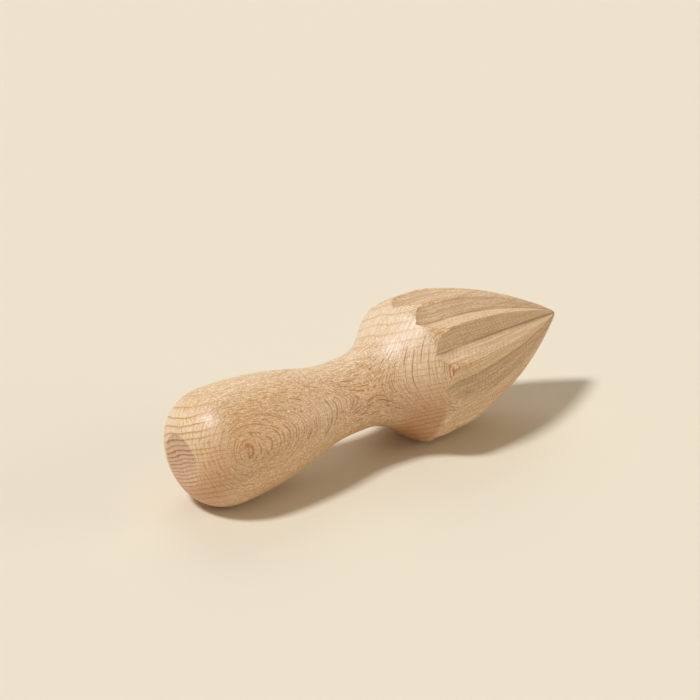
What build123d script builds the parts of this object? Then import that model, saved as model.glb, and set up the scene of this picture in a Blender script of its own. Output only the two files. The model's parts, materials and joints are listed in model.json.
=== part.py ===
from build123d import *
from math import acos, asin, atan2, cos, degrees, hypot, radians, sin, tan
import os

# Citrus reamer, turned from one piece of beech and lying on a table as it is put down:
# a round handle, a slim neck and a pointed head with sharp flutes.
# Stations are distances along the turning axis from the flat butt face, in millimetres.

# Handle
overall_length = 155.0
butt_flat_diameter = 16.2
handle_diameter = 38.4
handle_crest_station = 14.0
butt_trim_share = 0.01            # part of the round end that the flat butt face takes off
handle_convex_share = 0.724       # part of the fall from the handle to the neck that is still convex

# Neck
neck_diameter = 24.8
neck_start_station = 60.6
neck_end_station = 65.7
flare_radius = 21.3
flare_angle = 40.5                # slope of the shoulder's underside from the axis

# Head
head_diameter = 49.4
shoulder_radius = 7.8
ogive_station = 96.4              # where the head starts to narrow
nose_diameter = 3.0

# Flutes
flute_count = 12
flute_angle = 129.0               # between the two sides of a flute
flute_roll = -5.0                 # of the uppermost flute from straight up, positive towards -Y
flute_depth = 3.9                 # below the rim, where the head starts to narrow
flute_entry_radius = 21.6
flute_entry_angle = 42.0
flute_bend_radius_share = 0.75    # of the head's length, where the flute's bottom turns down towards the tip
flute_bend_share = 0.6            # part of the flute's fall that it turns there
flute_tip_diameter = 0.9          # over the flutes' bottoms at the tip
overrun = 2.0                     # of a cut past what it cuts

butt_flat_radius = butt_flat_diameter / 2
handle_radius = handle_diameter / 2
neck_radius = neck_diameter / 2
head_radius = head_diameter / 2
nose_radius = nose_diameter / 2
core_radius = head_radius - flute_depth
tip_core_radius = flute_tip_diameter / 2
flare = radians(flare_angle)
flute_entry = radians(flute_entry_angle)
head_length = overall_length - ogive_station
flute_fall = degrees(atan2(core_radius - tip_core_radius, head_length))

# Round end of the handle: a quarter of an ellipse, cut short by the butt face
round_length = handle_crest_station / (1 - butt_trim_share)
round_start = degrees(acos(1 - butt_trim_share))
round_depth = (handle_radius - butt_flat_radius) / (1 - sin(radians(round_start)))

# Shoulder: a cone between the neck's hollow and the rim's round edge
flare_start = (
    neck_end_station + flare_radius * sin(flare),
    neck_radius + flare_radius * (1 - cos(flare)),
)
rim_start_radius = head_radius - shoulder_radius * (1 - cos(flare))
flare_end = (flare_start[0] + (rim_start_radius - flare_start[1]) / tan(flare), rim_start_radius)
rim_station = flare_end[0] + shoulder_radius * sin(flare)

# Lying on a table, the axis rises towards the head along the line that touches the handle and the rim
handle_end_radius = round_length**2 / round_depth
circle_run = rim_station - handle_crest_station
circle_rise = (head_radius - shoulder_radius) - (handle_radius - handle_end_radius)
tilt = atan2(circle_rise, circle_run) + asin(
    (shoulder_radius - handle_end_radius) / hypot(circle_run, circle_rise)
)

# The axis starts at the middle of the butt face, and the origin is on the table, under the part's middle
handle_reach = hypot(round_depth * cos(tilt), round_length * sin(tilt))
butt_height = (handle_radius - round_depth) * cos(tilt) - handle_crest_station * sin(tilt) + handle_reach
butt_place = ((butt_flat_radius - tip_core_radius) * sin(tilt) - overall_length * cos(tilt)) / 2
turning_plane = Plane(
    origin=(butt_place, 0, butt_height),
    x_dir=(-sin(tilt), 0, cos(tilt)),
    z_dir=(cos(tilt), 0, sin(tilt)),
)


def meridian(plane):
    """The plane that holds a turning axis: stations along its X, radii along its Y."""
    return Plane(origin=plane.origin, x_dir=plane.z_dir, z_dir=plane.y_dir)


# One flute's cutter, for an axis along Z: a V that dips in over the rim, follows the head and leaves at the tip
with BuildPart() as flute_cutter:
    with BuildLine(meridian(Plane.XY)) as flute_bottom:
        entry_start = (
            ogive_station - flute_entry_radius * sin(flute_entry),
            core_radius + flute_entry_radius * (1 - cos(flute_entry)),
        )
        entry = TangentArc(
            entry_start, (ogive_station, core_radius), tangent=(cos(flute_entry), -sin(flute_entry))
        )
        bend = JernArc(
            entry @ 1, entry % 1, flute_bend_radius_share * head_length, -flute_bend_share * flute_fall
        )
        fall = TangentArc(bend @ 1, (overall_length, tip_core_radius), tangent=bend % 1)
        Line(fall @ 1, fall @ 1 + (fall % 1) * overrun)
    with BuildSketch(Plane(origin=entry @ 0, x_dir=(0, -1, 0), z_dir=entry % 0)):
        cutter_height = 2 * flute_depth
        cutter_half_width = cutter_height * tan(radians(flute_angle / 2))
        with BuildLine():
            Polyline(
                (0, 0), (cutter_half_width, cutter_height), (-cutter_half_width, cutter_height), close=True
            )
        make_face()
    sweep(path=flute_bottom.line)

with BuildPart(turning_plane) as reamer:
    with BuildSketch(meridian(turning_plane)):
        with BuildLine():
            butt = Line((0, 0), (0, butt_flat_radius))
            round_end = EllipticalCenterArc(
                (handle_crest_station, handle_radius - round_depth),
                round_length,
                round_depth,
                180 - round_start,
                arc_size=round_start - 90,
            )
            handle_turn = (
                handle_crest_station + handle_convex_share * (neck_start_station - handle_crest_station),
                handle_radius + handle_convex_share * (neck_radius - handle_radius),
            )
            handle = TangentArc(round_end @ 1, handle_turn, tangent=(1, 0))
            hollow = TangentArc(handle_turn, (neck_start_station, neck_radius), tangent=handle % 1)
            neck = Line(hollow @ 1, (neck_end_station, neck_radius))
            TangentArc(neck @ 1, flare_start, tangent=(1, 0))
            cone = Line(flare_start, flare_end)
            shoulder = TangentArc(flare_end, (rim_station, head_radius), tangent=cone % 1)
            rim = Line(shoulder @ 1, (ogive_station, head_radius))
            ogive = TangentArc(rim @ 1, (overall_length, nose_radius), tangent=(1, 0))
            nose = Line(ogive @ 1, (overall_length, 0))
            Line(nose @ 1, butt @ 0)
        make_face()
    revolve(axis=Axis(turning_plane.origin, turning_plane.z_dir))
    for flute_place in PolarLocations(0, flute_count, start_angle=flute_roll).local_locations:
        with Locations(flute_place):
            add(flute_cutter.part, mode=Mode.SUBTRACT)

reamer.part.label = "reamer"
os.makedirs("parts", exist_ok=True)
export_step(reamer.part, "parts/reamer.step")
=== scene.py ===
# %% [markdown]
# A citrus reamer is turned on a lathe from one piece of beech and then fluted with a V-shaped cutter.
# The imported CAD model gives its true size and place, so it is loaded first, as a fixed frame in metres.
# The form could also be built from nothing, but then its size would have to be kept right by hand.

# %% Load the frame
import json
import math

import bpy
import numpy as np
from mathutils import Matrix, Vector


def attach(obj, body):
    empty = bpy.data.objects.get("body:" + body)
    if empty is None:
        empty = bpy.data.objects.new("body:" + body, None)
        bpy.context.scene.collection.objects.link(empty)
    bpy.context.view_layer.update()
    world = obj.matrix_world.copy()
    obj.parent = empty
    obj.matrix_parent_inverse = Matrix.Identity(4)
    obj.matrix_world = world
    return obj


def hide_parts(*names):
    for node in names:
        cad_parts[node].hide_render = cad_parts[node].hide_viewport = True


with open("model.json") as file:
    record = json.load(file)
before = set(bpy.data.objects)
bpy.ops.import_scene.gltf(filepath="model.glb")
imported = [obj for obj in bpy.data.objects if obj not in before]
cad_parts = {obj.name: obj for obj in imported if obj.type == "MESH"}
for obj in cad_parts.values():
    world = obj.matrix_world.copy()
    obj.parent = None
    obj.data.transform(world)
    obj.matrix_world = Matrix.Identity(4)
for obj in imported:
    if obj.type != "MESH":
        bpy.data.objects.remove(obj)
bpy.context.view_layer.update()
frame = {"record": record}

# %% [markdown]
# Everything on a turned piece is measured from its turning axis. The record's mount is the flat butt face,
# and that gives the axis: it starts in the middle of the butt and runs square to it, towards the tip.
# A second direction across the axis is level, and the third is as near to straight up as the axis allows.
# The axis could be typed in as numbers, but taken from the record it stays right when the part changes.

# %% Turning axis
butt_mount = frame["record"]["mounts"][0]
butt_centre = np.array(butt_mount["pos_m"])
along = -np.array(butt_mount["axis"])
along = along / np.linalg.norm(along)
level = np.array([0.0, 1.0, 0.0])
upward = np.cross(along, level)
print("axis rises", round(math.degrees(math.asin(along[2])), 2), "degrees towards the tip")

# %% [markdown]
# A turner works to an outline: radii at stations along the axis, in millimetres here as in the workshop.
# The outline is a chain of arcs that run smoothly into each other. An arc is fixed by where it starts, the
# slope it leaves with and where it ends, so that is how it is written. A spline through measured points
# would do too, but arcs keep the clean sweep of a gouge.

# %% Arcs
nearly_straight = 1e-9


def arc(station, start, slope, end):
    """Radius of a circular arc at a station. The circle leaves `start` at the angle `slope` to the axis and
    passes through `end`: its signed radius is the chord squared over twice the chord's part along the
    normal, and its centre lies that far along the normal. With no bulge it is the straight line."""
    chord = np.subtract(end, start)
    normal = np.array([-math.sin(slope), math.cos(slope)])
    bulge = chord @ normal
    if abs(bulge) < nearly_straight:
        return start[1] + (station - start[0]) * math.tan(slope)
    signed = chord @ chord / (2 * bulge)
    centre = np.add(start, signed * normal)
    height = np.sqrt(np.maximum(signed**2 - (station - centre[0]) ** 2, 0))
    return centre[1] - np.sign(signed) * height


def end_slope(start, slope, end):
    """Slope at the arc's far end: an arc turns by the same angle on both sides of its chord."""
    return 2 * math.atan2(end[1] - start[1], end[0] - start[0]) - slope


def chain(station, runs):
    """Radius along a chain of arcs: each run holds up to its own end station, the last one to the end."""
    reach = [station <= run[2][0] for run in runs[:-1]]
    return np.select(reach, [arc(station, *run) for run in runs[:-1]], arc(station, *runs[-1]))


print("a quarter circle of 10 mm is", arc(6.0, (0.0, 10.0), 0.0, (10.0, 0.0)), "mm high at 6 mm")

# %% [markdown]
# The reamer's own outline has a round handle, a hollow, a neck, a flare, a rim and an ogive that runs to the
# tip. Only the sizes that a turner would measure are typed in. The points where arcs meet follow from them.

# %% Turned outline
overall_length = 155.0
handle_radius = 19.2
neck_radius = 12.4
rim_radius = 24.7
nose_radius = 1.5
crest = 14.0
neck_start = 60.6
neck_end = 65.7
ogive_start = 96.4
convex_share = 0.724
flare_radius = 21.3
shoulder_radius = 7.8
flare = math.radians(40.5)

handle_turn = (
    crest + convex_share * (neck_start - crest),
    handle_radius + convex_share * (neck_radius - handle_radius),
)
flare_foot = (
    neck_end + flare_radius * math.sin(flare),
    neck_radius + flare_radius * (1 - math.cos(flare)),
)
rim_foot_radius = rim_radius - shoulder_radius * (1 - math.cos(flare))
rim_foot = (flare_foot[0] + (rim_foot_radius - flare_foot[1]) / math.tan(flare), rim_foot_radius)
rim_start = rim_foot[0] + shoulder_radius * math.sin(flare)
handle_run = ((crest, handle_radius), 0.0, handle_turn)
outline = [
    handle_run,
    (handle_turn, end_slope(*handle_run), (neck_start, neck_radius)),
    ((neck_start, neck_radius), 0.0, (neck_end, neck_radius)),
    ((neck_end, neck_radius), 0.0, flare_foot),
    (flare_foot, flare, rim_foot),
    (rim_foot, flare, (rim_start, rim_radius)),
    ((rim_start, rim_radius), 0.0, (ogive_start, rim_radius)),
    ((ogive_start, rim_radius), 0.0, (overall_length, nose_radius)),
]
print("outline of", len(outline), "runs, rim from", round(rim_start, 2), "to", ogive_start, "mm")

# %% [markdown]
# The handle's end is a quarter of an ellipse, and the flat butt cuts it off just short of the axis. A
# half sphere would look too round here: the real end is blunter, and an ellipse can be as blunt as needed.

# %% Turned radius
butt_radius = 8.1
trim = 0.01
round_length = crest / (1 - trim)
round_depth = (handle_radius - butt_radius) / (1 - math.sqrt(1 - (1 - trim) ** 2))


def turned_radius(station):
    """Radius of the turned form: up to the handle's crest an ellipse, handle radius minus the ellipse's
    depth times one minus the root of one minus the squared share of its length; then the chain of arcs."""
    share = np.clip((crest - station) / round_length, 0, 1)
    round_end = handle_radius - round_depth * (1 - np.sqrt(1 - share**2))
    return np.where(station < crest, round_end, chain(station, outline))


for probe in (0.0, crest, neck_start, ogive_start):
    print("turned radius at", probe, "mm:", round(float(turned_radius(np.array([probe]))[0]), 2), "mm")

# %% [markdown]
# Twelve flutes are cut along the head. The cutter dips in over the rim, turns and runs down to the tip.
# Each side of a flute is straight across, so a flute is known from two curves: the bottom of the V and the
# ridge beside it. Where the turned form is lower than both, it stays as a pointed land behind the ridge.
# A boolean cut would give the same form with ragged triangles. With a formula the grid follows the edges.

# %% Flute bottoms and ridges
flute_count = 12
flute_depth = 3.9
flute_angle = math.radians(129.0)
tip_core = 0.45
entry_radius = 21.6
entry_angle = math.radians(42.0)
bend_share = 0.6
bend_radius_share = 0.75

half_pitch = math.pi / flute_count
side_slope = 1 / math.tan(flute_angle / 2)
core_radius = rim_radius - flute_depth
head_length = overall_length - ogive_start
bend_angle = bend_share * math.atan2(core_radius - tip_core, head_length)
bend_radius = bend_radius_share * head_length
entry_start = (
    ogive_start - entry_radius * math.sin(entry_angle),
    core_radius + entry_radius * (1 - math.cos(entry_angle)),
)
bend_end = (
    ogive_start + bend_radius * math.sin(bend_angle),
    core_radius - bend_radius * (1 - math.cos(bend_angle)),
)
flute_bottom = [
    (entry_start, -entry_angle, (ogive_start, core_radius)),
    ((ogive_start, core_radius), 0.0, bend_end),
    (bend_end, -bend_angle, (overall_length, tip_core)),
]


def flute_curves(station):
    """Radii of a flute's bottom and of the ridge beside it. The ridge stands half a pitch away, where the
    V's side has climbed: bottom over cos(half pitch) minus sin(half pitch) times the side's slope across
    the cut."""
    bottom = chain(np.maximum(station, entry_start[0]), flute_bottom)
    lean = np.gradient(bottom, station)
    climb = math.sin(half_pitch) * side_slope * np.sqrt(1 + lean**2)
    return bottom, bottom / (math.cos(half_pitch) - climb)


print(flute_count, "flutes,", flute_depth, "mm deep, from station", round(entry_start[0], 1), "mm to the tip")

# %% [markdown]
# Hand-guided work is never quite even. One land in view runs a few millimetres further than its neighbours,
# and the ridges, which are short grain, have lost a fibre here and there. The vertices could be moved by
# hand, but small fixed differences per ridge can be changed and give the same result on each run.

# %% Unevenness of the ridges
rng = np.random.default_rng(12)
ridge_lift = rng.uniform(-0.12, 0.08, flute_count)
ridge_lift[:4] = [-0.10, 0.30, -0.08, -0.08]
bottom_drop = rng.uniform(-0.06, 0.06, flute_count)


def wander(station, spacing, size, count):
    """Uneven lines, one column each: random heights every `spacing` millimetres, joined by straight runs."""
    knots = np.arange(0, overall_length + 2 * spacing, spacing)
    heights = size * rng.standard_normal((count, len(knots)))
    return np.stack([np.interp(station, knots, line) for line in heights], axis=1)


print("ridges differ in height by", round(float(np.ptp(ridge_lift)), 2), "mm")

# %% [markdown]
# The surface is one grid: rows run round the axis at stations along it, and columns run from butt to tip.
# The columns bunch so that one of them follows the edge between land and flute, one each ridge and one each
# bottom, which keeps those edges crisp. Rows are closest where the flutes run in, and at the tip, which
# sanding has rounded over. An even grid would need ten times the faces for the same edges.

# %% Rows and columns of the grid
entry_zone = (82.0, 101.0)
tip_round = 1.4
ellipse_start = math.asin(math.sqrt(1 - (1 - trim) ** 2))
tip_steps = np.sin(np.linspace(0, math.pi / 2, 10))
stations = np.concatenate(
    [
        crest - round_length * np.cos(np.linspace(ellipse_start, math.pi / 2, 27)),
        np.linspace(crest, entry_zone[0], 56)[1:],
        np.linspace(*entry_zone, 92)[1:],
        np.linspace(entry_zone[1], overall_length - tip_round, 88)[1:],
        overall_length - tip_round * (1 - tip_steps)[1:-1],
    ]
)
stations[0] = 0.0
inner_shares = np.array([0.0, 0.05, 0.18, 0.4, 0.64, 0.84, 0.95, 1.0])
outer_shares = np.array([0.05, 0.16, 0.38, 0.62, 0.84, 0.95, 1.0])
side_columns = len(inner_shares) + len(outer_shares)
print(len(stations), "rows, and", side_columns, "columns on each side of a flute")

# %% [markdown]
# A straight line between two points is simple in polar form: one over the radius changes as a mix of sines.
# That gives a flute's side between bottom and ridge. It can also be solved for the angle at which the side
# comes up through the turned form, which is the edge of the land.

# %% One side of all the flutes
edge_margin = 0.06
bunch_rise = (66.0, 81.0)
bunch_fall = (114.0, 102.0)


def ramp(value, low, high):
    """0 at `low`, 1 at `high`, straight between them and level outside; `low` above `high` turns it round."""
    return np.clip((value - low) / (high - low), 0, 1)


def flute_side(station, bottom, ridge, turned):
    """Angles from the flute's bottom and radii, for one side of every flute: rows, flutes and columns.
    A straight side has 1/r = (sin(h - d)/bottom + sin(d)/ridge)/sin(h) at the angle d out of the half
    pitch h. It meets the turned radius where a cos d + b sin d = sin(h)/turned, and one column follows that
    angle as far as the lands reach, and half the half pitch elsewhere."""
    h = half_pitch
    a = math.sin(h) / bottom
    b = 1 / ridge - math.cos(h) / bottom
    level_out = np.clip(math.sin(h) / turned / np.hypot(a, b), -1, 1)
    edge = np.clip(np.arccos(level_out) + np.arctan2(b, a), edge_margin * h, (1 - edge_margin) * h)
    bunch = ramp(station, *bunch_rise) * ramp(station, *bunch_fall)
    bunch = (bunch * bunch * (3 - 2 * bunch))[:, None]
    edge = (edge * bunch + 0.5 * h * (1 - bunch))[:, :, None]
    angle = np.concatenate([edge * inner_shares, edge + (h - edge) * outer_shares], axis=2)
    bent = np.sin(h - angle) / bottom[:, :, None] + np.sin(angle) / ridge[:, :, None]
    return angle, math.sin(h) / bent


def per_flute(curve):
    """The same curve along the stations for each flute: one column each."""
    return curve[:, None] * np.ones(flute_count)


turned = per_flute(turned_radius(stations))
bottom, ridge = (per_flute(curve) for curve in flute_curves(stations))
print("ridges stand", round(float((ridge - bottom).max()), 2), "mm above the bottoms at most")

# %% [markdown]
# The unevenness is laid on the curves of bottoms and ridges. It fades in behind the rim and out at the tip,
# where all flutes have to meet. Each ridge serves two flutes, so the list of ridges is also needed shifted
# by one, and then both sides of every flute are worked out by the same function.

# %% Both sides of all the flutes
uneven_rise = (84.0, 92.0)
uneven_fade = 40.0
nick_limit = 0.48
head_share = ramp(stations, *uneven_rise) * ramp(stations, overall_length, overall_length - uneven_fade)
head_share = head_share[:, None]
bottom = bottom + head_share * (bottom_drop + wander(stations, 4.0, 0.03, flute_count))
torn = np.maximum(wander(stations, 1.2, 0.4, flute_count) - nick_limit, 0) * head_share
ridge = ridge + head_share * ridge_lift
past_ridge = np.roll(ridge, 1, axis=1)
past_torn = np.roll(torn, 1, axis=1)
here_angle, here_radius = flute_side(stations, bottom, ridge, turned)
back_angle, back_radius = flute_side(stations, bottom, past_ridge, turned)
print("deepest nick in a ridge", round(float(torn.max()), 2), "mm")

# %% [markdown]
# Now the two sides are laid next to each other round the head. Bottoms stand every 30 degrees, counted from
# the upper one towards the near side. The form is the lower of turned and fluted. A ridge is slightly worn,
# so it loses its sharp line, and where a fibre is missing it has a nick.

# %% Whole surface in polar form
roll = math.radians(5.0)
ridge_wear = 0.05
wear_reach = 0.3


def both_sides(back, here):
    """Back sides, turned round, and front sides next to each other. The ridge at the start is left out,
    because the flute before it has it already."""
    return np.concatenate([back[:, :, :0:-1], here], axis=2)[:, :, 1:]


all_columns = np.ones(side_columns)
bottom_angle = (roll - 2 * half_pitch * np.arange(flute_count))[None, :, None]
angle = both_sides(bottom_angle + back_angle, bottom_angle - here_angle)
fluted = both_sides(back_radius, here_radius)
to_ridge = both_sides(half_pitch - back_angle, half_pitch - here_angle) * turned[:, :, None]
nick = both_sides(past_torn[:, :, None] * all_columns, torn[:, :, None] * all_columns)
fluted = fluted - (nick + ridge_wear) * np.exp(-((to_ridge / wear_reach) ** 2))
tip_fall = np.sqrt(1 - ramp(stations, overall_length - tip_round, overall_length) ** 2)[:, None, None]
radius = np.minimum(turned[:, :, None], fluted) * tip_fall
cut_depth = turned[:, :, None] * tip_fall - radius
rows, columns = len(stations), angle.shape[1] * angle.shape[2]
angle, radius, cut_depth = (part.reshape(rows, columns) for part in (angle, radius, cut_depth))
print("grid of", rows, "by", columns, "and deepest cut", round(float(cut_depth.max()), 2), "mm")

# %% [markdown]
# The polar grid becomes points in the frame: butt centre, plus station along the axis, plus radius across it.
# The flat butt is closed by rings that shrink to one middle point, and the tip by one point on the axis.

# %% Points
millimetre = 0.001


def place(station, angle, radius):
    """Point = butt centre + station along the axis + radius times (cos upward + sin level), in metres."""
    across = np.cos(angle)[..., None] * upward + np.sin(angle)[..., None] * level
    return butt_centre + millimetre * (station[..., None] * along + radius[..., None] * across)


ring_shares = np.array([0.2, 0.45, 0.7, 0.88, 0.97])[:, None]
rings_on_butt = len(ring_shares)
disc = place(
    np.zeros((rings_on_butt, columns)),
    np.repeat(angle[:1], rings_on_butt, 0),
    ring_shares * radius[:1],
)
body = place(np.repeat(stations[:, None], columns, 1), angle, radius)
grid = np.concatenate([disc, body])
ends = place(np.array([0.0, overall_length]), np.zeros(2), np.zeros(2))
points = np.concatenate([grid.reshape(-1, 3), ends])
print(len(points), "points, from", points.min(axis=0).round(4), "to", points.max(axis=0).round(4))

# %% [markdown]
# Four neighbours on the grid make a face, and the last column joins the first. The two ends are fans of
# triangles. Faces have to point outwards: the signed volume inside them says whether they do, and if it
# comes out negative their corners are read the other way round.

# %% Faces
corner = np.arange(len(grid) * columns).reshape(len(grid), columns)
beside = np.roll(corner, -1, axis=1)
quads = np.stack([corner[:-1], beside[:-1], beside[1:], corner[1:]], axis=2).reshape(-1, 4)
butt_fan = np.stack([np.full(columns, len(points) - 2), beside[0], corner[0]], axis=1)
tip_fan = np.stack([np.full(columns, len(points) - 1), corner[-1], beside[-1]], axis=1)
first, second, third, fourth = (points[quads[:, side]] for side in range(4))
areas = np.cross(second, third) + np.cross(third, fourth)
volume = np.einsum("ij,ij->i", first, areas).sum() / 6
if volume < 0:
    quads, butt_fan, tip_fan = (faces[:, ::-1] for faces in (quads, butt_fan, tip_fan))
print(2 * len(quads) + 2 * columns, "triangles round about", round(abs(volume) * 1e6, 1), "cm3")

# %% [markdown]
# The mesh carries one attribute of its own: how deep the cutter went below the turned form, in millimetres.
# The finish needs it, because fluted wood is left from the cutter and turned wood is sanded. A mask could be
# painted by hand instead, but the cutter's depth is known here and ends exactly at the edges.

# %% Reamer mesh
mesh = bpy.data.meshes.new("turned_reamer")
mesh.from_pydata(points.tolist(), [], quads.tolist() + butt_fan.tolist() + tip_fan.tolist())
depths = np.concatenate([np.zeros(rings_on_butt * columns), cut_depth.ravel(), np.zeros(len(ends))])
mesh.attributes.new("cut_depth", "FLOAT", "POINT").data.foreach_set("value", depths.astype(np.float32))
mesh.polygons.foreach_set("use_smooth", np.ones(len(mesh.polygons), bool))
mesh.update()
reamer = bpy.data.objects.new("turned_reamer", mesh)
bpy.context.scene.collection.objects.link(reamer)
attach(reamer, "root")
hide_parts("reamer")
closed = len(mesh.vertices) - len(mesh.edges) + len(mesh.polygons)
print("points minus edges plus faces:", closed, "and a closed form without holes has 2")

# %% [markdown]
# A finish is a tree of shader nodes. It could be wired one node at a time, but written as expressions it
# reads like arithmetic: a small class holds one socket, and adding or multiplying two of them adds a Math
# node. Any other node comes from its `add` method.

# %% Shader arithmetic
class Wire:
    """One output socket of a material, which Python's operators join to others by Math nodes."""

    def __init__(self, tree, socket=None):
        self.tree, self.socket = tree, socket

    def add(self, kind, settings, sockets, out=0):
        """Adds a node: first its settings, with a ramp's stops, then its sockets' values or links."""
        node = self.tree.nodes.new(kind)
        for name, value in settings.items():
            if name == "stops":
                ramp_stops = node.color_ramp.elements
                while len(ramp_stops) < len(value):
                    ramp_stops.new(1.0)
                for stop, (position, shade) in zip(ramp_stops, value):
                    stop.position, stop.color = position, (shade, shade, shade, 1.0)
            else:
                setattr(node, name, value)
        for key, value in sockets.items():
            if isinstance(value, Wire):
                self.tree.links.new(value.socket, node.inputs[key])
            else:
                node.inputs[key].default_value = value
        return Wire(self.tree, node.outputs[out] if node.outputs else None)

    def joined(self, operation, *values):
        """A Math node on the given values, in their order."""
        return self.add("ShaderNodeMath", {"operation": operation}, dict(enumerate(values)))

    def maths(self, operation, *values):
        """A Math node on this value first and then on any others."""
        return self.joined(operation, self, *values)

    def __add__(self, other):
        return self.maths("ADD", other)

    def __sub__(self, other):
        return self.maths("SUBTRACT", other)

    def __rsub__(self, other):
        return self.joined("SUBTRACT", other, self)

    def __mul__(self, other):
        return self.maths("MULTIPLY", other)

    def __truediv__(self, other):
        return self.maths("DIVIDE", other)

    def __rtruediv__(self, other):
        return self.joined("DIVIDE", other, self)

    def __pow__(self, other):
        return self.maths("POWER", other)

    def __rpow__(self, other):
        return self.joined("POWER", other, self)

    __radd__, __rmul__ = __add__, __mul__

    def smooth(self, low, high):
        """0 below `low`, 1 above `high`, a soft step between them; `low` above `high` turns it round."""
        settings = {"interpolation_type": "SMOOTHSTEP", "clamp": True}
        return self.add("ShaderNodeMapRange", settings, {0: self, 1: low, 2: high, 3: 0.0, 4: 1.0})


def srgb(red, green, blue):
    """A colour as it looks on a screen, 0 to 255, made into the linear values that Blender's sockets hold:
    a straight line for the darkest shades and a power curve above them."""
    share = np.array([red, green, blue]) / 255
    linear = np.where(share <= 0.04045, share / 12.92, ((share + 0.055) / 1.055) ** 2.4)
    return (*(float(value) for value in linear), 1.0)


print("middle grey of a screen in linear values:", [round(value, 3) for value in srgb(128, 128, 128)])

# %% [markdown]
# Wood has three directions of its own: along the grain, out from the pith through the growth rings, and
# along the rings. In this billet the rings lie about 24 degrees from level, and the grain leaves the axis by
# a few degrees. A Mapping node turns the object's coordinates into those three, in millimetres from the
# middle of the butt. The skin could be painted, but reading the solid makes rings run on from butt to side.

# %% Grain directions
ring_tilt = math.radians(24.0)
ring_rise = 0.085
grain_drift = 0.05
outward = math.cos(ring_tilt) * upward + math.sin(ring_tilt) * level + ring_rise * along
outward = outward / np.linalg.norm(outward)
grain = along - outward * (along @ outward) + grain_drift * np.cross(along, outward)
grain = grain / np.linalg.norm(grain)
tangent = np.cross(grain, outward)
grain_turn = Matrix(np.stack([grain, outward, tangent], axis=1).tolist()).to_euler()

beech = bpy.data.materials.new("beech")
beech.use_nodes = True
beech.node_tree.nodes.clear()
wire = Wire(beech.node_tree)
object_place = wire.add("ShaderNodeTexCoord", {}, {}, "Object")
billet = wire.add(
    "ShaderNodeMapping",
    {"vector_type": "TEXTURE"},
    {
        "Vector": object_place,
        "Location": butt_centre.tolist(),
        "Rotation": grain_turn,
        "Scale": (millimetre, millimetre, millimetre),
    },
)
grain_mm, out_mm, along_ring_mm = (
    wire.add("ShaderNodeSeparateXYZ", {}, {"Vector": billet}, axis) for axis in "XYZ"
)
print("grain frame turned by", [round(math.degrees(part), 1) for part in grain_turn], "degrees")

# %% [markdown]
# Nothing in wood repeats evenly, so most marks start from soft noise. Each has its own length along the
# grain, outward and along the ring, and the billet's coordinates are measured in those lengths. One noise
# with fixed proportions would be simpler, but pores are long and thin, and clouds of tone are broad.

# %% Noise in the billet
def cloudy(lengths, detail=2.0):
    """Soft noise, about 0.5 in the middle, with features of the given lengths in millimetres: along the
    grain, outward and along the ring. The coordinates are divided by those lengths first."""
    shares = tuple(1 / length for length in lengths)
    measured = wire.add("ShaderNodeVectorMath", {"operation": "MULTIPLY"}, {0: billet, 1: shares})
    return wire.add("ShaderNodeTexNoise", {}, {"Vector": measured, "Scale": 1.0, "Detail": detail})


def sway(lengths, size, detail=1.0):
    """Soft noise that sways about nought: the noise less its middle, times `size`."""
    return (cloudy(lengths, detail) - 0.5) * size


patchy = cloudy((30.0, 5.0, 7.0), 1.0).smooth(0.35, 0.65)
tone = cloudy((60.0, 22.0, 14.0), 1.0).smooth(0.3, 0.7)
near_butt = grain_mm.smooth(45.0, 10.0)
# This mask is 1 on the lower side of the billet, below its middle, and 0 on top. Over end grain it makes the
# lower side darker and warmer: partly the end grain's own colour, partly painted shade under the shoulder.
lower_side = out_mm.smooth(12.0, -10.0)
print("the billet's masks so far take", len(beech.node_tree.nodes), "nodes")

# %% [markdown]
# How a cut looks depends on which way it faces: across the grain it shows end grain, and square to the rings
# it shows the rays from their side. Both are dot products of the surface's normal with a direction of the
# billet. Angles round the pith are kept as millimetres along a ring, and they waver as in a real trunk.

# %% How the cut faces the grain
pith_mm = 150.0


def along_way(vector, way):
    """How far a vector reaches along a way: their dot product."""
    settings = {"operation": "DOT_PRODUCT"}
    return wire.add("ShaderNodeVectorMath", settings, {0: vector, 1: way.tolist()}, "Value")


def facing(way):
    """How squarely the surface faces along a way: the squared cosine, from 0 to 1."""
    cosine = along_way(wire.add("ShaderNodeNewGeometry", {}, {}, "Normal"), way)
    return cosine * cosine


end_grain = facing(along).smooth(0.0, 0.6)
ray_face = facing(tangent)
flake = ray_face.smooth(0.84, 0.96)
waver = sway((22.0, 26.0, 9.0), 1.6) + sway((5.0, 5.0, 5.0), 0.25)
round_mm = along_ring_mm.maths("ARCTAN2", out_mm + pith_mm) * pith_mm + waver
print("the pith lay", pith_mm, "mm from the middle of the butt")

# %% [markdown]
# Growth rings are shells round the pith, which lay outside this billet. They are almost 3 mm apart, but the
# tree had some lean years, and there they crowd to about 1 mm: a hyperbolic tangent adds those rings. On end
# grain a ring dips where a ray crosses it, so its line has small notches. A Wave texture would give rings
# too, but all alike, and these need their own numbers, so that each can be stronger or weaker.

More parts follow.
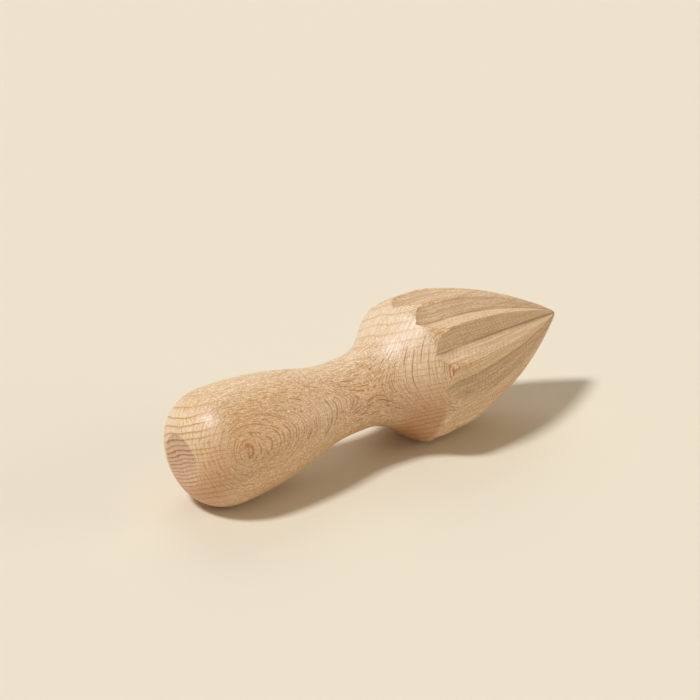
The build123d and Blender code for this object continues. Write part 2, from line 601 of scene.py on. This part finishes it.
# %% Ring numbers
ring_mm = 2.9
lean_years_mm = -3.0
lean_reach_mm = 8.5
lean_rings = 4.5
notch_mm = 1.25
notch_depth_mm = 0.5
from_pith = ((out_mm + pith_mm) ** 2.0 + along_ring_mm * along_ring_mm) ** 0.5
bow = sway((70.0, 16.0, 12.0), 2.4) + sway((14.0, 3.0, 3.0), 0.5, 2.0)
notch = (round_mm + sway((3.0, 3.0, 3.0), 2.2)) / notch_mm
notch = (notch.maths("FRACT") - 0.5).maths("ABSOLUTE")
grown = from_pith + bow + (notch - 0.25) * end_grain * notch_depth_mm - pith_mm
lean = (grown - lean_years_mm) / lean_reach_mm
ring_number = grown / ring_mm + lean.maths("TANH") * lean_rings
ring_share = ring_number.maths("FRACT")
ring_index = ring_number.maths("FLOOR")
lean_mm = 1 / (1 / ring_mm + lean_rings / lean_reach_mm)
print("rings", ring_mm, "mm apart, and", round(lean_mm, 2), "mm in the lean years")

# %% [markdown]
# Within a ring the wood darkens slowly towards the autumn edge and then starts again pale, all at once. A
# ramp gives that. Some rings are stronger than others, and they show most on end grain. The short lines
# across them there are the ends of rays.

# %% Growth rings
autumn = wire.add(
    "ShaderNodeValToRGB",
    {"stops": [(0.0, 0.5), (0.05, 0.03), (0.7, 0.03), (0.87, 0.25), (0.94, 1.0), (1.0, 0.9)]},
    {"Fac": ring_share},
)
ring_strength = wire.add("ShaderNodeTexWhiteNoise", {"noise_dimensions": "1D"}, {"W": ring_index}, "Value")
end_contrast = 0.3 + near_butt * 0.3 + lower_side * (1 - near_butt * 0.6) * 0.6
ring_contrast = 0.34 + patchy * 0.2 + end_grain * end_contrast
soft_bands = ring_share.smooth(0.5, 0.95) * ring_strength * near_butt * end_grain * 0.36
rings = autumn * (ring_strength * 0.45 + 0.55) * ring_contrast + soft_bands
rings = rings.maths("MINIMUM", 1.0)
ticks = notch.smooth(0.25, 0.42) * end_grain * cloudy((4.0, 2.4, 0.9), 0.0).smooth(0.36, 0.56)
print("with the rings the beech has", len(beech.node_tree.nodes), "nodes")

# %% [markdown]
# Beech is known by its rays: thin brown sheets that stand along the grain and reach outward from the pith
# across the rings. Cut along the ring they show as short dashes, cut across it as flakes and long arcs.
# Strokes painted on the skin would do for one view. Here every sheet stands in the solid wood at its own
# angle round the pith, so dashes, arcs and flakes come by themselves from how the lathe cut through it.
# Where a flake lies flat in the surface, the grain breaks it up into upright bars.

# %% Rays
def ray_sheets(spacing_mm, first_mm, thickness, patch_mm, kept):
    """1 inside a ray. From `first_mm` on, sheets stand `spacing_mm` apart round the ring, bent a little by
    noise, and each is up to `thickness` of the spacing thick. It shows where noise with features of
    `patch_mm` along the grain and outward, read at another place for every sheet, is above `kept`."""
    number = (round_mm - first_mm) / spacing_mm
    sheet = number.maths("FLOOR")
    off_middle = (number.maths("FRACT") - 0.5).maths("ABSOLUTE")
    own = wire.add("ShaderNodeTexWhiteNoise", {"noise_dimensions": "1D"}, {"W": sheet}, "Value")
    reach = off_middle / ((own + 0.3) * (thickness / 2))
    spot = {"X": grain_mm / patch_mm[0], "Y": out_mm / patch_mm[1], "Z": sheet * 5.3}
    where = wire.add("ShaderNodeCombineXYZ", {}, spot)
    patch = wire.add("ShaderNodeTexNoise", {}, {"Vector": where, "Scale": 1.0, "Detail": 1.0})
    shown = (patch + end_grain * 0.05 + flake * 0.07).smooth(kept, kept + 0.07)
    return reach.smooth(1.0, 0.55) * shown


bars = cloudy((0.8, 5.0, 5.0), 0.0).smooth(0.52, 0.46)
from_the_side = ray_face.smooth(0.15, 0.6) * 0.68 + 0.32 - end_grain * (0.25 + lower_side * 0.5)
broad_rays = ray_sheets(spacing_mm=0.72, first_mm=0.18, thickness=0.34, patch_mm=(3.2, 12.0), kept=0.52)
broad_rays = broad_rays * (1 - flake * bars) * from_the_side
broad_rays = broad_rays * (1 - (1 - flake) * (near_butt * 0.4 + lower_side * 0.2))
fine_rays = ray_sheets(spacing_mm=0.27, first_mm=0.0, thickness=0.5, patch_mm=(1.8, 9.0), kept=0.48)
fine_rays = fine_rays * (1 - end_grain * 0.45)
print("with the rays the beech has", len(beech.node_tree.nodes), "nodes")

# %% [markdown]
# Between the rays the wood is full of pores, open tubes too fine to see one by one. They show as short, faint
# streaks along the grain and as specks. Modelled tubes would be far too many, so noise that is much longer
# than wide stands for them.

# %% Pores
pores = cloudy((3.0, 0.2, 0.2), 1.0).smooth(0.5, 0.57)
specks = cloudy((0.6, 0.26, 0.26), 0.0).smooth(0.42, 0.62)
streaks = cloudy((18.0, 0.42, 0.42), 2.0).smooth(0.32, 0.7)
print("with the pores the beech has", len(beech.node_tree.nodes), "nodes")

# %% [markdown]
# Two more coordinates belong to the lathe and not to the tree: the station along the axis and the turn round
# it. The turn is counted from the upper flute, so that its seam, half way round, falls into the bottom of
# another flute, where it can't be seen. A UV map would do as well, but it would need a seam of its own.

# %% Station and turn
from_butt = wire.add(
    "ShaderNodeVectorMath", {"operation": "SUBTRACT"}, {0: object_place, 1: butt_centre.tolist()}
)
ways = [
    along,
    math.cos(roll) * upward + math.sin(roll) * level,
    math.cos(roll) * level - math.sin(roll) * upward,
]
station_mm, up_mm, side_mm = (along_way(from_butt, way / millimetre) for way in ways)
turn_round = side_mm.maths("ARCTAN2", up_mm)
off_axis_mm = (up_mm * up_mm + side_mm * side_mm) ** 0.5
flute_share = turn_round / (2 * half_pitch) + 0.5
off_bottom_mm = (flute_share.maths("FRACT") - 0.5) * off_axis_mm * (2 * half_pitch)
off_bottom_mm = off_bottom_mm.maths("ABSOLUTE")
print("the turn starts", round(math.degrees(roll), 1), "degrees from straight up")

# %% [markdown]
# The flutes are left from the cutter: duller and furry, scored by fine lines along the cut, with faint marks
# of its feed across it. A thin dark line in the bottom of each is painted shade in the crease. Real grooves
# would need millions of faces, so these marks are colour and a little bump. The flutes themselves are in the
# mesh.

# %% Masks for the flutes
score_mm = 26.0
scores_per_radian = 34.0
feed_mm = 1.7
feed_lean = 0.8
depth_mm = wire.add("ShaderNodeAttribute", {"attribute_name": "cut_depth"}, {}, "Fac")
in_flute = depth_mm.smooth(0.01, 0.07)
score_spot = {"X": station_mm / score_mm, "Y": turn_round * scores_per_radian, "Z": 0.0}
score_place = wire.add("ShaderNodeCombineXYZ", {}, score_spot)
scores = wire.add("ShaderNodeTexNoise", {}, {"Vector": score_place, "Scale": 1.0, "Detail": 2.0})
scores = scores.smooth(0.32, 0.68)
# A thin dark line along the bottom of each flute: painted shade in the crease.
painted_bottom_shade = off_bottom_mm.smooth(0.45, 0.05) * in_flute
feed = ((station_mm + off_bottom_mm * feed_lean) / feed_mm).maths("FRACT")
feed_marks = feed.smooth(0.55, 0.9) * feed.smooth(1.0, 0.95) * cloudy((7.0, 4.0, 4.0), 1.0).smooth(0.42, 0.6)
furry = cloudy((0.55, 0.3, 0.3), 1.0).smooth(0.45, 0.6)
print("feed marks", feed_mm, "mm apart along the flutes")

# %% [markdown]
# At the edges of the flutes the fibres tore a little, here and there, and show orange. They lie where the cut
# is shallow, so the cutter's depth finds them. The butt is the first tenth of a millimetre of the axis.

# %% Masks for torn edges and butt
near_edge = depth_mm.smooth(0.0, 0.04) * depth_mm.smooth(1.3, 0.2)
torn_place = near_edge * cloudy((9.0, 9.0, 9.0), 0.0).smooth(0.4, 0.6)
torn_edge = torn_place * cloudy((1.6, 0.9, 0.9), 1.0).smooth(0.46, 0.62)
flecks = torn_place * cloudy((1.1, 0.6, 0.6), 0.0).smooth(0.56, 0.63)
on_butt = station_mm.smooth(0.12, 0.05)
butt_marks = ring_share.smooth(0.5, 0.92) * (ring_strength * 0.35 + 0.5) + ticks * 0.35
butt_marks = (butt_marks * 0.9).maths("MINIMUM", 1.0)
print("with all masks the beech has", len(beech.node_tree.nodes), "nodes")

# %% [markdown]
# The colours are laid one over the other, each by its own mask, as a painter glazes: first the pale ground,
# its warmer ray side and the darker end grain underneath, which is partly painted shade, then pores and
# specks, and the rings and rays last, because they are darkest. One colour ramp over a mix of all masks would
# need fewer nodes, but each mark has its own hue.

# %% Sanded wood
def over(ground, colour, mask):
    """A colour laid over the ground where the mask is 1."""
    return wire.add("ShaderNodeMix", {"data_type": "RGBA"}, {0: mask, 6: ground, 7: colour}, 2)


def layered(ground, layers):
    """Layers laid over a ground in their order: each has a name, a colour and a mask."""
    for name, colour, mask in layers:
        ground = over(ground, colour, mask)
    print("laid over each other:", ", ".join(name for name, colour, mask in layers))
    return ground


# On the end grain of the lower side the rings turn darker: painted shade under the shoulder.
ring_colour = over(srgb(194, 126, 44), srgb(140, 70, 18), lower_side * end_grain * (1 - near_butt * 0.8))
ray_colour = over(srgb(154, 89, 13), srgb(170, 98, 16), flake)
# End grain on the lower side, most of all under the shoulder, turns darker and warmer: partly the colour of
# end grain, partly painted shade.
end_grain_and_underside_shade = end_grain * lower_side * (0.88 - near_butt * 0.3)
sanded = layered(
    srgb(255, 236, 202),
    [
        ("tone", srgb(252, 227, 187), tone),
        ("warmer ray side", srgb(204, 140, 60), ray_face * (0.34 + near_butt * 0.2)),
        # End grain underneath, darker partly from the grain and partly as painted shade.
        ("end grain and painted shade underneath", srgb(187, 115, 31), end_grain_and_underside_shade),
        ("streaks", srgb(224, 190, 150), streaks * (1 - end_grain) * 0.25),
        ("pores", srgb(184, 138, 72), pores * (0.8 - end_grain * 0.6 - ray_face * 0.2)),
        ("specks", srgb(180, 124, 50), specks * (0.48 + ray_face * 0.2 - end_grain * 0.3)),
        ("rings", ring_colour, rings),
        ("ray ends", srgb(184, 112, 44), ticks * (lower_side * 0.25 + near_butt * 0.2 + 0.2)),
        ("fine rays", srgb(180, 110, 36), fine_rays * 0.85),
        ("broad rays", ray_colour, broad_rays * 0.9),
    ],
)

# %% [markdown]
# Inside the flutes the wood was cut but not sanded, so its marks are fainter and greyer and the cutter's own
# marks lie over them, with a line of painted shade along each bottom. The torn edges come on top of both. The
# flat of the butt drinks in more through its open pores, so it is darker and pinker, and its rings stand out
# most.

# %% Flutes, edges and butt
fluted_wood = layered(
    srgb(246, 218, 179),
    [
        ("scores", srgb(217, 184, 143), scores),
        ("faint rings", srgb(170, 132, 92), autumn * 0.35),
        ("fur", srgb(184, 148, 108), pores * 0.4 + furry * 0.3),
        ("feed marks", srgb(158, 118, 78), feed_marks * 0.3),
        # The dark line in the bottoms is painted shade.
        ("painted shade in the bottoms", srgb(136, 97, 62), painted_bottom_shade * 0.45),
    ],
)
skin = layered(
    sanded,
    [
        ("flutes", fluted_wood, in_flute * 0.88),
        ("torn edges", srgb(214, 158, 92), torn_edge * 0.7),
        ("flecks", srgb(196, 128, 50), flecks * 0.9),
        ("butt", srgb(229, 195, 161), on_butt * 0.8),
        ("darker half of the butt", srgb(188, 138, 102), on_butt * out_mm.smooth(-10.0, 4.0) * 0.35),
        ("rings on the butt", srgb(132, 70, 30), on_butt * butt_marks),
    ],
)

# %% [markdown]
# Finely sanded beech has a soft sheen: a satin surface, and over it a thin coat that stands for the polish
# of sanding. The flutes and the butt have no coat and are duller, so roughness and coat follow the masks.
# The marks are slightly sunken too: pores are hollow, and rays and autumn wood stand differently after
# sanding. Such relief is too fine for the mesh, so a Bump node gives it.

# %% Beech shader
satin = 0.5
dull_flutes = 0.3
dull_butt = 0.2
dull_pores = 0.06
polish = 0.5
relief = 0 - pores * 0.5 - broad_rays * 0.3 - rings * 0.08 - in_flute * scores * 1.2
bump = wire.add("ShaderNodeBump", {}, {"Strength": 0.45, "Distance": 0.00014, "Height": relief})
shader = wire.add(
    "ShaderNodeBsdfPrincipled",
    {},
    {
        "Base Color": skin,
        "Roughness": satin + in_flute * dull_flutes + on_butt * dull_butt + pores * dull_pores,
        "Coat Weight": (1 - in_flute) * (1 - on_butt) * polish,
        "Coat Roughness": 0.38,
        "Specular IOR Level": 1.0,
        "Normal": bump,
    },
)
wire.add("ShaderNodeOutputMaterial", {}, {"Surface": shader})
mesh.materials.append(beech)
print("the whole finish has", len(beech.node_tree.nodes), "nodes")

# %% [markdown]
# A plain pale floor carries the shadow. It is only a stage and no part of the object. A curved backdrop would
# hide the horizon, but from this height a floor far larger than the view does so too.

# %% Floor
floor_reach = 6.0
floor_colour = srgb(236, 225, 203)
floor_corners = [(-1, -1), (1, -1), (1, 1), (-1, 1)]
floor_mesh = bpy.data.meshes.new("floor")
floor_mesh.from_pydata([(x * floor_reach, y * floor_reach, 0) for x, y in floor_corners], [], [(0, 1, 2, 3)])
floor = bpy.data.objects.new("floor", floor_mesh)
bpy.context.scene.collection.objects.link(floor)
pale = bpy.data.materials.new("pale_floor")
pale.use_nodes = True
floor_sockets = pale.node_tree.nodes["Principled BSDF"].inputs
floor_sockets["Base Color"].default_value = floor_colour
floor_sockets["Roughness"].default_value = 0.9
floor_sockets["Specular IOR Level"].default_value = 0.1
floor_mesh.materials.append(pale)
print("floor of", 2 * floor_reach, "by", 2 * floor_reach, "metres")

# %% [markdown]
# The light is one soft lamp high over the butt's end, a wide faint one behind, another low at the side, and a
# dome that fills the shadows. Area lamps near the object would do as well, but their light falls off across
# the floor. Far lamps light all of it evenly, and their width in degrees makes the shadow's edge soft. All
# of them add up to about 1 on the floor, so that a colour renders about as it is written.

# %% Lamps
def soft_lamp(name, towards, width, share, colour):
    """A far lamp, `width` degrees wide, that lights a level floor with the given share of full light. A
    strength S gives S times the sine of the lamp's height, over pi."""
    towards = Vector(towards).normalized()
    data = bpy.data.lights.new(name, "SUN")
    data.angle, data.color = math.radians(width), colour
    data.energy = share * math.pi / towards.z
    lamp = bpy.data.objects.new(name, data)
    lamp.location = towards
    lamp.rotation_euler = towards.to_track_quat("Z", "Y").to_euler()
    bpy.context.scene.collection.objects.link(lamp)
    print(name, "lamp of strength", round(data.energy, 2), "and", width, "degrees wide")


soft_lamp("key", towards=(-0.52, 0.07, 0.86), width=11.5, share=0.60, colour=(0.96, 1.0, 1.07))
soft_lamp("back", towards=(0.40, 0.70, 0.75), width=36.0, share=0.10, colour=(1.0, 1.0, 1.0))
soft_lamp("side", towards=(0.80, -0.55, 0.22), width=31.0, share=0.048, colour=(1.0, 0.94, 0.84))

# %% [markdown]
# The room is a dome with no picture on it, a little brighter overhead. The camera and mirror-like surfaces
# see it in the floor's own colour, so there is no horizon line. The light that fills the shadows is warmer
# and weaker than what they see, and the Light Path node tells the two apart.

# %% Room
dome_level = 0.25
dome_overhead = 0.06
dome_colour = (1.0, 0.9, 0.77, 1.0)
world = bpy.data.worlds.new("room")
bpy.context.scene.world = world
world.use_nodes = True
world.node_tree.nodes.clear()
sky = Wire(world.node_tree)
sky_place = sky.add("ShaderNodeTexCoord", {}, {}, "Generated")
height_in_sky = sky.add("ShaderNodeSeparateXYZ", {}, {0: sky_place}, "Z").maths("MAXIMUM", 0.0)
seen_by = ("Camera", "Glossy", "Transmission")
seen = sum(sky.add("ShaderNodeLightPath", {}, {}, f"Is {ray} Ray") for ray in seen_by).maths("MINIMUM", 1.0)
strength = (height_in_sky * dome_overhead + dome_level) * (1 - seen) + seen
dome = sky.add("ShaderNodeMix", {"data_type": "RGBA"}, {0: seen, 6: dome_colour, 7: floor_colour}, 2)
background = sky.add("ShaderNodeBackground", {}, {"Color": dome, "Strength": strength})
sky.add("ShaderNodeOutputWorld", {}, {"Surface": background})
print("dome of strength", dome_level, "at the side and", dome_level + dome_overhead, "overhead")

# %% [markdown]
# The camera looks down at the butt's end from the left, through a long lens, which keeps the proportions as
# the eye knows them. A short lens close by would show the same side, but swell the handle and shrink the tip.

# %% Camera
camera_place = (-0.3807, -0.4798, 0.2963)
looking = Vector((0.5606, 0.7293, -0.3922))
camera_data = bpy.data.cameras.new("camera")
camera_data.sensor_width = 36.0
camera_data.lens = 105.4
camera = bpy.data.objects.new("camera", camera_data)
camera.location = camera_place
camera.rotation_euler = looking.to_track_quat("-Z", "Y").to_euler()
bpy.context.scene.collection.objects.link(camera)
bpy.context.scene.camera = camera
bpy.context.scene.view_settings.view_transform = "Standard"
print("camera", round(camera.location.length, 3), "m from the middle, with a lens of", camera_data.lens, "mm")
